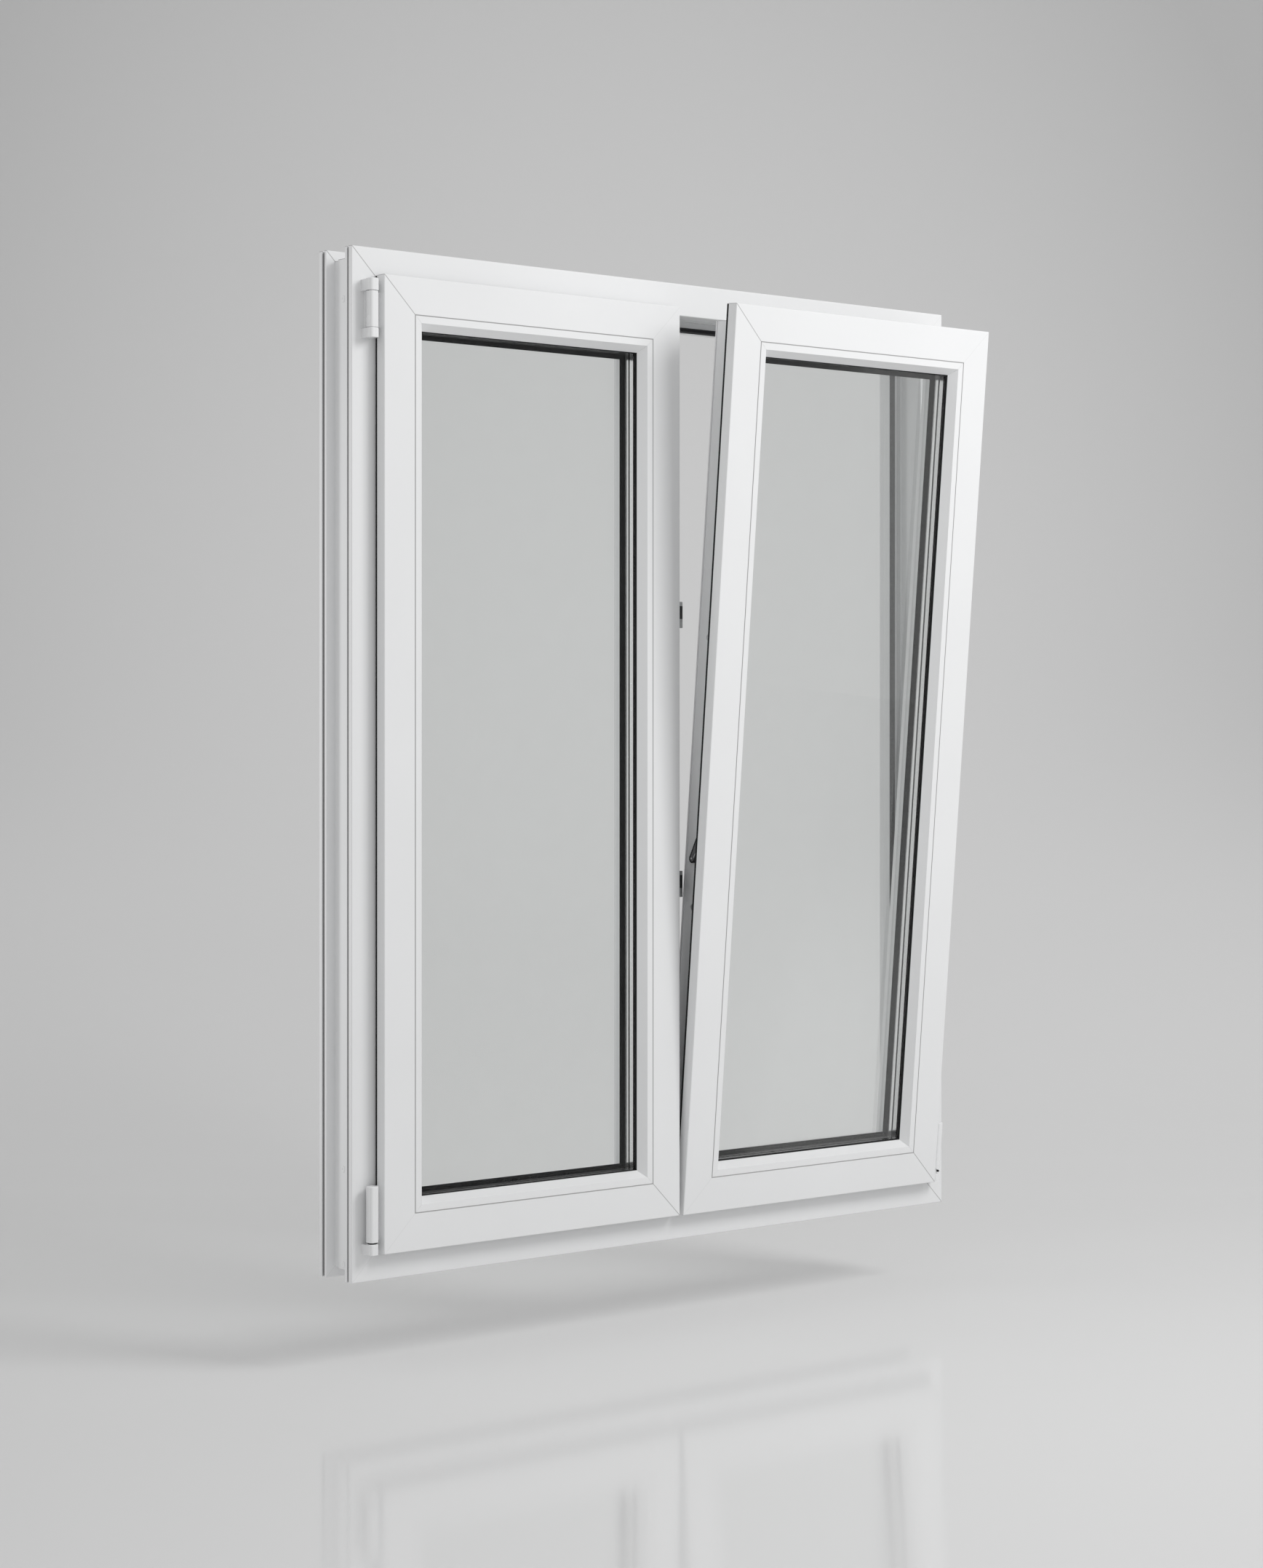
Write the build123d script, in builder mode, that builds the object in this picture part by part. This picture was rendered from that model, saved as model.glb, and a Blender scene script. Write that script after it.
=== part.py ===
"""Double-sash plastic window: left sash closed, right sash tilted into the room.

Room side faces -Y, the outdoors is +Y, +Z is up. The origin is the middle of the
front flange's lower edge, on which the frame is set into its wall opening.
Depths are counted from the frame's front face, positive towards the outdoors.
"""
import os
from math import asin, cos, degrees, radians, sin

from build123d import *

os.makedirs("parts", exist_ok=True)

# fixed frame, all in millimetres
frame_w = 995
frame_h = 1240
frame_d = 70
front_flange = 14
rear_flange = 16
flange_lip = 11.25
frame_face = 41.5
frame_total = 56.3
lip_t = 23.5
lip_slope = 4
edge = 0.8
seal_groove_in = 6.5
seal_groove_w = 3.5
seal_groove_d = 2
rear_groove_in = 3.6
rear_groove_w = 5.8
rear_groove_d = 2.5
floor_step_w = 9
floor_step_d = 1.2
clip_groove_in = 28
clip_groove_w = 12
clip_groove_d = 3
wall = 3
web = 1.5
soft_edge = 1.2

# fixing bores through the jambs
fixing_depth = 34
fixing_r = 3.1
fixing_low = 132
fixing_high = 60

# sashes, measured inward from the edge of the overlap
margin = 33.5
centre_gap = 6
left_sash_w = 464
sash_proud = 20
overlap_gap = 5
overlap = 20
bead_joint = 45.4
joint_bevel = 0.5
bead_flat = 9.2
bead_inner = 63
bead_depth = 11.4
rear_seal_gap = 5.5
rear_lip_rise = 3
rear_lip_fall = 3
rear_lip_flat = 8
rear_slot_in = 1.6
rear_slot_w = 2.4
rear_slot_d = 1.5
hardware_depth = 13
hardware_w = 16.6
hardware_d = 2.6
hardware_air = 12

# glazing
glass_t = 4
glass_space = 16
glass_clear = 5
gasket_t = 3
gasket_grip = 5
gasket_lip = 1.2
outer_gasket_h = 6.5
spacer_h = 7
spacer_rise = 0.5

# sealing strips between frame and sash
seal_h = 5.2
seal_from = 0.8
frame_seal_h = 7.2
frame_seal_from = 0.3

# tilt of the right sash about its lower pivot
tilt_deg = 5.09
pivot_proud = 14
pivot_z = 36

# hinges
left_hinge_in = 20.7
right_hinge_in = 27
hinge_proud = 13
barrel_r = 6.3
pin_r = 3
pin_socket = 31
cap_w = 13.6
cap_r = 4.5
cover_w = 12.6
cover_r = 4
right_cover_w = 11
cover_bevel = 1
wing_t = 5
wing_depth = 7
wing_inset = 1
plate_t = 4
lower_cup_z = 34
lower_cup_h = 13
pivot_cup_h = 10
pivot_pin_h = 16
lower_sleeve_h = 67
cup_gap = 2
pivot_gap = 8
upper_hinge_drop = 39
upper_cap_h = 14.7
upper_sleeve_h = 43.7
upper_low_h = 12
knuckle_gap = 0.3

# stay of the tilted sash
stay_drop = 49
stay_t = 2.5
stay_w = 14
stay_len = 290
support_len = 100
support_share = 0.52
slider_l = 28
slider_w = 12
slider_gap = 0.9
stay_plate_in = 26
stay_plate_out = 8

# locking gear
striker_l = 34
striker_t = 10.8
striker_w = 17
striker_depth = 4
striker_lip = 3
striker_slot = 16
striker_slot_up = 3
striker_low = 460
striker_mid = 810
sill_striker_offset = 90
cam_r = 4.5
cam_h = 6
cam_drop = 30
gear_t = 2.4
gear_w = 16
gear_end = 30
bottom_gear_len = 180
lever_z = 505
lever_depth = 18.3
lever_l = 40
lever_w = 11
lever_t = 3
lever_turn = 113

# floating mullion on the left sash
mullion_cover = 25
mullion_cover_t = 11
mullion_body_clear = 4.5
mullion_lip_clear = 2
mullion_cap_t = 2

# clearances
hair = 0.1
soft_gap = 0.4

lip_depth = frame_d - lip_t
sash_rear = lip_depth - rear_seal_gap
seat_mid = (edge + seal_groove_in) / 2
front_y = -seat_mid
right_sash_w = frame_w - 2 * margin - centre_gap - left_sash_w
sash_h = frame_h - 2 * margin
left_x = -frame_w / 2 + margin
left_end = left_x + left_sash_w
right_start = left_end + centre_gap
right_x = frame_w / 2 - margin
left_mid = (left_x + left_end) / 2
right_mid = (right_start + right_x) / 2
sash_mid = frame_h / 2
glass_front = bead_depth + gasket_t - sash_proud
pane_gap_front = glass_front + glass_t
pane_gap_back = pane_gap_front + glass_space
glass_back = pane_gap_back + glass_t
rebate_back = glass_back + gasket_t


def member(outline, span, chambers=(), shorten=0.0, soft=0.0):
    """A bar along X, outer edge at Z = 0, hollow along its chambers, both ends mitred."""
    with BuildPart() as bar:
        with BuildSketch(Plane.YZ.offset(-span / 2)):
            with BuildLine():
                Polyline(*[(front_y + depth, inward) for depth, inward in outline], close=True)
            make_face()
            if soft:
                fillet(vertices().group_by(Axis.X)[0].sort_by(Axis.Y)[0], soft)
            for near, far, low, high in chambers:
                with Locations((front_y + (near + far) / 2, (low + high) / 2)):
                    Rectangle(far - near, high - low, mode=Mode.SUBTRACT)
        extrude(amount=span)
        split(bisect_by=Plane(origin=(span / 2 - shorten, 0, 0), z_dir=(1, 0, 1)), keep=Keep.BOTTOM)
        split(bisect_by=Plane(origin=(shorten - span / 2, 0, 0), z_dir=(-1, 0, 1)), keep=Keep.BOTTOM)
    return bar.part


def sides(outline, width, height, x, z, **options):
    """Bottom, top, left and right members of one mitred rectangle centred on x and z."""
    level = member(outline, width, **options)
    upright = member(outline, height, **options)
    return [
        level.moved(Location((x, 0, z - height / 2))),
        level.moved(Location((x, 0, z + height / 2), (0, 180, 0))),
        upright.moved(Location((x - width / 2, 0, z), (0, 90, 0))),
        upright.moved(Location((x + width / 2, 0, z), (0, -90, 0))),
    ]


def fused(*solids):
    with BuildPart() as whole:
        for solid in solids:
            add(solid)
    return whole.part


def cut(body, *tools):
    with BuildPart() as rest:
        add(body)
        for tool in tools:
            add(tool, mode=Mode.SUBTRACT)
    return rest.part


def ring(outline, width, height, x, z):
    """One closed rectangular ring of the given section."""
    bottom, top, left, right = sides(outline, width, height, x, z)
    return fused(bottom, left, top, right)


def block(x0, x1, near, far, z0, z1):
    """A block between two X, two depths and two Z."""
    with BuildPart() as cuboid:
        with Locations(((x0 + x1) / 2, front_y + (near + far) / 2, (z0 + z1) / 2)):
            Box(abs(x1 - x0), far - near, z1 - z0)
    return cuboid.part


def post(x, z0, z1, radius):
    """An upright round bar on a hinge's axis."""
    with BuildPart() as round_bar:
        with Locations((x, front_y - hinge_proud, (z0 + z1) / 2)):
            Cylinder(radius, z1 - z0)
    return round_bar.part


def cover(x, z0, z1, width, radius=cover_r):
    """An upright hinge cover of rounded square section on a hinge's axis."""
    with BuildPart() as shell:
        with BuildSketch(Plane.XY.offset(z0)):
            with Locations((x, front_y - hinge_proud)):
                RectangleRounded(width, width, radius)
        extrude(amount=z1 - z0)
        chamfer(edges().group_by(Axis.Z)[-1], cover_bevel)
    return shell.part


tilt = (
    Location((0, front_y - pivot_proud, pivot_z), (tilt_deg, 0, 0))
    * Location((0, pivot_proud - front_y, -pivot_z))
)


def save(name, *shapes, tilted=False):
    """Write one piece, leaned into the room where it belongs to the tilted sash."""
    if tilted:
        shapes = [shape.moved(tilt) for shape in shapes]
    whole = Compound(children=list(shapes)) if len(shapes) > 1 else shapes[0]
    whole.label = name
    export_step(whole, f"parts/{name}.step")


# fixed frame: flanges with seal grooves outside, rebate and rear lip inside
rear_in = frame_d - rear_flange
rear_groove = rear_in + rear_groove_in
frame_outline = [
    (0, 0),
    (seal_groove_in, 0),
    (seal_groove_in, seal_groove_d),
    (seal_groove_in + seal_groove_w, seal_groove_d),
    (seal_groove_in + seal_groove_w, 0),
    (front_flange, 0),
    (front_flange, flange_lip),
    (rear_in - floor_step_w, flange_lip),
    (rear_in - floor_step_w, flange_lip + floor_step_d),
    (rear_in, flange_lip + floor_step_d),
    (rear_in, 0),
    (rear_groove, 0),
    (rear_groove, rear_groove_d),
    (rear_groove + rear_groove_w, rear_groove_d),
    (rear_groove + rear_groove_w, 0),
    (frame_d - edge, 0),
    (frame_d, edge),
    (frame_d, frame_total - lip_slope),
    (frame_d - lip_t / 2, frame_total),
    (lip_depth, frame_total),
    (lip_depth, frame_face),
    (clip_groove_in + clip_groove_w, frame_face),
    (clip_groove_in + clip_groove_w, frame_face - clip_groove_d),
    (clip_groove_in, frame_face - clip_groove_d),
    (clip_groove_in, frame_face),
    (edge, frame_face),
    (0, frame_face - edge),
]
steel_far = clip_groove_in + clip_groove_w + web
frame_chambers = [
    (wall, front_flange - wall, seal_groove_d + wall, frame_face - wall),
    (front_flange - wall + web, steel_far, flange_lip + wall, frame_face - clip_groove_d - wall),
    (steel_far + web, rear_in - web, flange_lip + floor_step_d + wall, frame_face - wall),
    (rear_in + wall, frame_d - wall, rear_groove_d + wall, frame_face),
    (rear_in, frame_d - wall, frame_face + web, frame_total - lip_slope - wall),
]


def fixing_bores(x):
    bores = []
    for height in (fixing_low, frame_h - fixing_high):
        with BuildPart() as bore:
            with Locations(Location((x, front_y + fixing_depth, height), (0, 90, 0))):
                Cylinder(fixing_r, 2 * frame_total)
        bores.append(bore.part)
    return bores


sill, head, left_jamb, right_jamb = sides(
    frame_outline, frame_w, frame_h, 0, sash_mid, chambers=frame_chambers, soft=soft_edge
)
save("frame_sill", sill)
save("frame_head", head)
save("frame_left_jamb", cut(left_jamb, *fixing_bores(-frame_w / 2)))
save("frame_right_jamb", cut(right_jamb, *fixing_bores(frame_w / 2)))
seal_top = frame_total - frame_seal_from
frame_gasket_outline = [
    (lip_depth, seal_top - frame_seal_h),
    (sash_rear + soft_gap, seal_top - 0.7 * frame_seal_h),
    (sash_rear + soft_gap, seal_top - 0.2 * frame_seal_h),
    (lip_depth, seal_top),
]
save("frame_gasket", ring(frame_gasket_outline, frame_w, frame_h, 0, sash_mid))

# sash section: overlap in the room, hardware groove in its edge, glass rebate inside
hardware_near = hardware_depth - hardware_w / 2
hardware_far = hardware_depth + hardware_w / 2
rear_slot = sash_rear - rear_slot_in - rear_slot_w
sash_outline = [
    (-sash_proud, 0),
    (-overlap_gap, 0),
    (-overlap_gap, overlap),
    (hardware_near, overlap),
    (hardware_near, overlap + hardware_d),
    (hardware_far, overlap + hardware_d),
    (hardware_far, overlap),
    (rear_slot, overlap),
    (rear_slot, overlap + rear_slot_d),
    (rear_slot + rear_slot_w, overlap + rear_slot_d),
    (rear_slot + rear_slot_w, overlap),
    (sash_rear, overlap),
    (sash_rear, bead_inner - rear_lip_fall),
    (rebate_back + rear_lip_flat, bead_inner + rear_lip_rise),
    (rebate_back, bead_inner + rear_lip_rise),
    (rebate_back, bead_joint),
    (joint_bevel - sash_proud, bead_joint),
    (-sash_proud, bead_joint - joint_bevel),
]
front_wall = -overlap_gap - wall
rear_split = (rebate_back + wall + sash_rear) / 2
sash_chambers = [
    (wall - sash_proud, front_wall, wall, overlap - web),
    (wall - sash_proud, front_wall, overlap, bead_joint - wall),
    (front_wall + web, rebate_back, overlap + hardware_d + wall, bead_joint - wall),
    (rebate_back + wall, rear_split - web, hardware_d + overlap + wall, bead_inner - rear_lip_fall),
    (rear_split, sash_rear - wall, overlap + wall, bead_inner - rear_lip_fall - wall),
]
bead_outline = [
    (joint_bevel - sash_proud, bead_joint),
    (-sash_proud, bead_joint + joint_bevel),
    (-sash_proud, bead_joint + bead_flat),
    (bead_depth - sash_proud, bead_inner),
    (bead_depth - sash_proud, bead_joint),
]
inner_gasket_outline = [
    (glass_front - gasket_t, bead_inner - gasket_grip),
    (glass_front - gasket_t, bead_inner),
    (glass_front, bead_inner + gasket_lip),
    (glass_front, bead_inner - gasket_grip),
]
outer_gasket_outline = [
    (glass_back, bead_inner - gasket_grip),
    (glass_back, bead_inner + outer_gasket_h),
    (rebate_back, bead_inner + rear_lip_rise),
    (rebate_back, bead_inner - gasket_grip),
]
overlap_gasket_outline = [
    (-overlap_gap, seal_from),
    (-overlap_gap / 4, seal_from / 2),
    (-soft_gap, seal_from + 0.3 * seal_h),
    (-overlap_gap / 4, 0.8 * seal_h),
    (-overlap_gap, seal_from + seal_h),
]
glass_edge = bead_joint + glass_clear
spacer_top = bead_inner + spacer_rise
spacer_outline = [
    (pane_gap_front, spacer_top - spacer_h),
    (pane_gap_front, spacer_top),
    (pane_gap_back, spacer_top),
    (pane_gap_back, spacer_top - spacer_h),
]


def sash(prefix, names, x, width, tilted):
    """Everything that is alike on both sashes: bars, beads, glass, spacer and seals."""
    place = (width, sash_h, x, sash_mid)
    bars = sides(sash_outline, *place, chambers=sash_chambers, soft=soft_edge)
    for name, bar in zip(names, bars):
        save(f"{prefix}_{name}", bar, tilted=tilted)
    beads = sides(bead_outline, *place, shorten=hair)
    save(f"{prefix}_glazing_beads", *beads, tilted=tilted)
    half_w = width / 2 - glass_edge
    half_h = sash_h / 2 - glass_edge
    for name, depth in (("inner_glass", glass_front), ("outer_glass", pane_gap_back)):
        pane = block(x - half_w, x + half_w, depth, depth + glass_t, sash_mid - half_h, sash_mid + half_h)
        save(f"{prefix}_{name}", pane, tilted=tilted)
    save(f"{prefix}_spacer", ring(spacer_outline, *place), tilted=tilted)
    inner = ring(inner_gasket_outline, *place)
    outer = ring(outer_gasket_outline, *place)
    save(f"{prefix}_glazing_gaskets", inner, outer, tilted=tilted)
    save(f"{prefix}_overlap_gasket", ring(overlap_gasket_outline, *place), tilted=tilted)


sash("left_sash", ("bottom_rail", "top_rail", "hinge_stile", "meeting_stile"), left_mid, left_sash_w, False)
sash("right_sash", ("bottom_rail", "top_rail", "lock_stile", "hinge_stile"), right_mid, right_sash_w, True)

# floating mullion: a rebate for the right sash, carried on the left sash's edge
mullion_back = left_end - overlap
mullion_face = right_start + overlap - hardware_air
mullion_lip = mullion_face + frame_total - frame_face
body_z = frame_face + mullion_body_clear
lip_z = frame_total + mullion_lip_clear
mullion_body = block(mullion_back, mullion_face, 0, sash_rear, body_z, frame_h - body_z)
mullion_core = [
    block(mullion_back + wall, mullion_face - wall, near, far, body_z, frame_h - body_z)
    for near, far in ((wall, sash_rear / 2 - web), (sash_rear / 2, sash_rear - wall))
]
lip_top = frame_h - lip_z
mullion_side = mullion_back - mullion_cover
mullion_step = block(mullion_side, mullion_face, sash_rear, lip_depth, lip_z, lip_top)
mullion_rear = lip_depth + mullion_cover_t
mullion_flange = block(mullion_side, mullion_lip, lip_depth, mullion_rear, lip_z, lip_top)
save("mullion_profile", cut(fused(mullion_body, mullion_step, mullion_flange), *mullion_core))
cap_low = block(mullion_back, mullion_face, 0, sash_rear, body_z - mullion_cap_t, body_z)
body_top = frame_h - body_z
cap_high = block(mullion_back, mullion_face, 0, sash_rear, body_top, body_top + mullion_cap_t)
save("mullion_end_caps", cap_low, cap_high)
seal_x = mullion_lip - frame_seal_from
mullion_gasket = block(seal_x - frame_seal_h, seal_x, sash_rear + soft_gap, lip_depth, lip_z, lip_top)
save("mullion_gasket", mullion_gasket)


def striker(x, side, z):
    """A lock keeper that stands sideways from a rebate, its slot open to the outdoors."""
    far = striker_depth + striker_w
    body = block(x, x + side * striker_t, striker_depth, far, z - striker_l / 2, z + striker_l / 2)
    slot_low = z + striker_slot_up - striker_slot / 2
    slot = block(x + side * striker_lip, x + side * striker_t, striker_depth + striker_lip, far,
                 slot_low, slot_low + striker_slot)
    return cut(body, slot)


striker_heights = (striker_low, striker_mid)
save("mullion_strikers", *[striker(mullion_face, 1, height) for height in striker_heights])

# keepers on the frame for the right sash: hinge jamb, head and sill
jamb_striker = striker(frame_w / 2 - frame_face, -1, sash_mid)
keeper = striker(0, 1, 0)
head_striker = keeper.moved(Location((right_mid, 0, frame_h - frame_face), (0, 90, 0)))
sill_striker = keeper.moved(Location((right_start + sill_striker_offset, 0, frame_face), (0, -90, 0)))
save("frame_strikers", jamb_striker, head_striker, sill_striker)

# gear in the edge of the right sash
gear_near = hardware_depth - gear_w / 2
gear_far = hardware_depth + gear_w / 2
lock_edge = right_start + overlap + hardware_d
gear_low = margin + overlap + gear_end
gear_high = frame_h - margin - overlap - gear_end
lock_face = block(lock_edge - gear_t, lock_edge, gear_near, gear_far, gear_low, gear_high)
save("lock_faceplate", lock_face, tilted=True)
bottom_edge = margin + overlap + hardware_d
bottom_face = block(lock_edge + gear_end, lock_edge + gear_end + bottom_gear_len, gear_near, gear_far,
                    bottom_edge - gear_t, bottom_edge)
save("bottom_faceplate", bottom_face, tilted=True)
cams = []
for height in striker_heights:
    with BuildPart() as cam:
        cam_x = lock_edge - gear_t - cam_h / 2
        with Locations(Location((cam_x, front_y + hardware_depth, height - cam_drop), (0, 90, 0))):
            Cylinder(cam_r, cam_h)
    cams.append(cam.part)
save("locking_cams", *cams, tilted=True)
with BuildPart() as lever:
    with BuildSketch(Plane.YZ.offset(lock_edge - hardware_d - lever_t)):
        with Locations((front_y + lever_depth, lever_z)):
            SlotOverall(lever_l, lever_w, rotation=lever_turn)
    extrude(amount=lever_t)
save("misoperation_lever", lever.part, tilted=True)

# faceplate in the top edge of the right sash, where the stay slides
top_edge = frame_h - margin - overlap - hardware_d
stay_face = block(right_start + overlap + stay_plate_in, right_x - overlap - stay_plate_out,
                  gear_near, gear_far, top_edge, top_edge + gear_t)
save("stay_faceplate", stay_face, tilted=True)

# hinges
left_hinge_x = -frame_w / 2 + left_hinge_in
right_hinge_x = frame_w / 2 - right_hinge_in


def wing(x, sash_edge, z0, z1):
    """The web that ties a hinge sleeve to the sash's edge."""
    near = -wing_depth - wing_t / 2
    return block(x, sash_edge, near, near + wing_t, z0 + wing_inset, z1 - wing_inset)


def foot(x, z0, z1, width):
    """The web that ties a hinge bearing to the frame's face."""
    return block(x - width / 2, x + width / 2, -hinge_proud, 0, z0, z1)


cup_top = lower_cup_z + lower_cup_h
sleeve_low = cup_top + cup_gap
sleeve_top = sleeve_low + lower_sleeve_h
left_cup = fused(
    cover(left_hinge_x, lower_cup_z, cup_top, cover_w),
    foot(left_hinge_x, lower_cup_z, cup_top - cover_bevel, cover_w),
    post(left_hinge_x, lower_cup_z, cup_top + pin_socket, pin_r),
)
save("left_lower_hinge_cup", left_cup)
left_sleeve = fused(
    cover(left_hinge_x, sleeve_low, sleeve_top, cover_w),
    wing(left_hinge_x, left_x, sleeve_low, sleeve_top),
)
socket = post(left_hinge_x, sleeve_low, cup_top + pin_socket + knuckle_gap, pin_r + hair)
save("left_lower_hinge_sleeve", cut(left_sleeve, socket))

upper_top = frame_h - upper_hinge_drop
cap_z = upper_top - upper_cap_h
bearing_top = cap_z - knuckle_gap
bearing_low = bearing_top - upper_sleeve_h
knuckle_top = bearing_low - knuckle_gap
upper_low = knuckle_top - upper_low_h
bearing = fused(
    cover(left_hinge_x, upper_low, knuckle_top, cap_w, cap_r),
    cover(left_hinge_x, cap_z, upper_top, cap_w, cap_r),
    foot(left_hinge_x, upper_low, knuckle_top - cover_bevel, cap_w),
    foot(left_hinge_x, cap_z, upper_top - cover_bevel, cap_w),
    block(left_hinge_x - pin_r, left_hinge_x + cap_w / 2, -plate_t, 0, upper_low, upper_top - cover_bevel),
    post(left_hinge_x, upper_low, upper_top - cover_bevel, pin_r),
)
save("left_upper_hinge_bearing", bearing)
knuckle = fused(
    cover(left_hinge_x, bearing_low, bearing_top, cover_w),
    wing(left_hinge_x, left_x, bearing_low, bearing_top),
)
axle_hole = post(left_hinge_x, bearing_low, bearing_top, pin_r + hair)
save("left_upper_hinge_sleeve", cut(knuckle, axle_hole))

pivot_top = lower_cup_z + pivot_cup_h
right_cup = fused(
    cover(right_hinge_x, lower_cup_z, pivot_top, right_cover_w),
    foot(right_hinge_x, lower_cup_z, pivot_top - cover_bevel, right_cover_w),
    post(right_hinge_x, lower_cup_z, lower_cup_z + pivot_pin_h, pin_r),
)
save("right_lower_pivot_bearing", right_cup)
pivot_sleeve_z = pivot_top + pivot_gap
right_sleeve = fused(
    cover(right_hinge_x, pivot_sleeve_z, sleeve_top, right_cover_w),
    wing(right_hinge_x, right_x, pivot_sleeve_z, sleeve_top),
)
save("right_lower_hinge_sleeve", right_sleeve, tilted=True)

# stay bearing on the frame, and the two arms that hold the sash tilted
stay_z = frame_h - stay_drop
stay_bearing = fused(
    post(right_hinge_x, upper_low, stay_z, barrel_r),
    foot(right_hinge_x, upper_low, stay_z, 2 * barrel_r),
    post(right_hinge_x, upper_low, upper_top, pin_r),
    post(right_hinge_x, stay_z + stay_t, upper_top, barrel_r),
)
save("stay_bearing", stay_bearing)

# the main arm's far end stands over the middle of the tilted sash's top groove
slide_z = top_edge + gear_t
turn = radians(tilt_deg)
groove_out = pivot_proud - (hardware_depth + pivot_proud) * cos(turn) + (slide_z - pivot_z) * sin(turn)
groove_top = pivot_z + (slide_z - pivot_z) * cos(turn) + (hardware_depth + pivot_proud) * sin(turn)
reach = groove_out - hinge_proud
arm_turn = asin(reach / stay_len)
far_x = right_hinge_x - stay_len * cos(arm_turn)
far_y = front_y - groove_out
knee_x = right_hinge_x - support_share * stay_len * cos(arm_turn)
knee_y = front_y - hinge_proud - support_share * reach
support_turn = asin((knee_y - far_y) / support_len)
support_x = knee_x + support_len * cos(support_turn)


def arm(x0, y0, x1, y1, length, z):
    """A flat bar with round ends between two pivots."""
    with BuildPart() as bar:
        with BuildSketch(Plane.XY.offset(z)):
            with Locations(((x0 + x1) / 2, (y0 + y1) / 2)):
                SlotCenterToCenter(length, stay_w, rotation=degrees(asin((y1 - y0) / length)))
        extrude(amount=stay_t)
    return bar.part


main_arm = arm(far_x, far_y, right_hinge_x, front_y - hinge_proud, stay_len, stay_z)
save("stay_arm", cut(main_arm, post(right_hinge_x, stay_z, stay_z + stay_t, pin_r)))
support = arm(knee_x, knee_y, support_x, far_y, support_len, stay_z - stay_t)
save("stay_support_arm", support)


def slider(x, top):
    """A block that slides along the top faceplate under an arm's end."""
    return block(x - slider_l / 2, x + slider_l / 2, hardware_depth - slider_w / 2,
                 hardware_depth + slider_w / 2, slide_z, slide_z + top - groove_top - slider_gap)


save("stay_sliders", slider(far_x, stay_z), slider(support_x, stay_z - stay_t), tilted=True)
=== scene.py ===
"""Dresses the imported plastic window: finishes, small fittings, a stage, light and the camera."""
import math

import bpy
import numpy as np
from mathutils import Matrix, Vector


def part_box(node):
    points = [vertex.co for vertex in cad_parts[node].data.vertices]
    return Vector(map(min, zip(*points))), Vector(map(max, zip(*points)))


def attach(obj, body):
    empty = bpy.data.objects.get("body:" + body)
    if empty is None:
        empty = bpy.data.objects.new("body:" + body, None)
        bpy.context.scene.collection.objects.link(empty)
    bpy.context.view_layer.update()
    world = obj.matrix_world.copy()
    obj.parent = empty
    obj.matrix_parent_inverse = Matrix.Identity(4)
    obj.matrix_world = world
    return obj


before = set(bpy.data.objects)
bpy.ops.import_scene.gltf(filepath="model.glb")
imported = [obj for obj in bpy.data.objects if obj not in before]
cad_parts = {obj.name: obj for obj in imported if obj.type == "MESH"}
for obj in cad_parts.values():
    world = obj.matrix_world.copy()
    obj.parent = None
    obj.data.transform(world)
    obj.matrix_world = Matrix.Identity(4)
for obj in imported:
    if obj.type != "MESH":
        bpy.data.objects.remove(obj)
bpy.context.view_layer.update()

bl_info = {
    "name": "Plastic Window Dressing",
    "version": (1, 0, 0),
    "blender": (4, 5, 0),
    "location": "View3D > Sidebar > Window",
    "description": "Finishes, small fittings, stage and light for a tilted plastic window",
    "category": "Object",
}

MM = 0.001

# the right sash leans about its pivot; a y is a depth behind or before the frame's front face
TILT = math.radians(5.09)
FRONT_Y = -3.65 * MM
PIVOT = Vector((0.0, FRONT_Y - 14 * MM, 36 * MM))
TILT_MATRIX = (
    Matrix.Translation(PIVOT) @ Matrix.Rotation(TILT, 4, "X") @ Matrix.Translation(-PIVOT)
)

# profiles: what shows of the frame round a sash, the bead joint's distance from a sash's edge,
# the depth before which only a sash's own face lies, and the flanges' grooves as depths
MARGIN = 33.5 * MM
BEAD_JOINT = 45.4 * MM
SASH_FACE_STEP = 18.5 * MM
FRAME_GROOVES = ((6.5 * MM, 10 * MM), (57.6 * MM, 63.4 * MM))
SPACER_DEPTH = 6.4 * MM

# fixing bores in the floor of each jamb's outer channel
JAMB_FLOOR = 486.25 * MM
FIXING_Y = FRONT_Y + 34 * MM
FIXING_HEIGHTS = (17 * MM, 132 * MM, 1180 * MM)

# keepers: seats of the screws, middles along the bar, and the screws' offsets from a middle
STRIKER_TOP = 24.8 * MM
STRIKER_Y = FRONT_Y + 12.5 * MM
STRIKER_FRONT = FRONT_Y + 4 * MM
STRIKER_SLOT_UP = 3 * MM
MULLION_STRIKERS = (460 * MM, 810 * MM)
JAMB_STRIKER = (445.2 * MM, 620 * MM)
HEAD_STRIKER = (235 * MM, 1187.7 * MM)
SILL_STRIKER = (96 * MM, 52.3 * MM)
STRIKER_SCREWS = (-11 * MM, 14 * MM)

# gear in the upright sash: outer faces of its three faceplates, their screws, and the lock's slots
# as middle and half of the straight part, in millimetres
GEAR_Y = FRONT_Y + 13 * MM
LOCK_FACE = 26.2 * MM
LOCK_SCREWS = (110 * MM, 300 * MM, 560 * MM, 685 * MM, 930 * MM, 1130.5 * MM)
LOCK_SLOTS = ((1105, 3.5), (1042, 4.5), (824, 3.5), (700, 12), (350, 12))
BOTTOM_FACE = 53.7 * MM
BOTTOM_SCREWS = (71 * MM, 226 * MM)
STAY_FACE = 1186.3 * MM
STAY_SCREWS = (64 * MM, 128 * MM)

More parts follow.
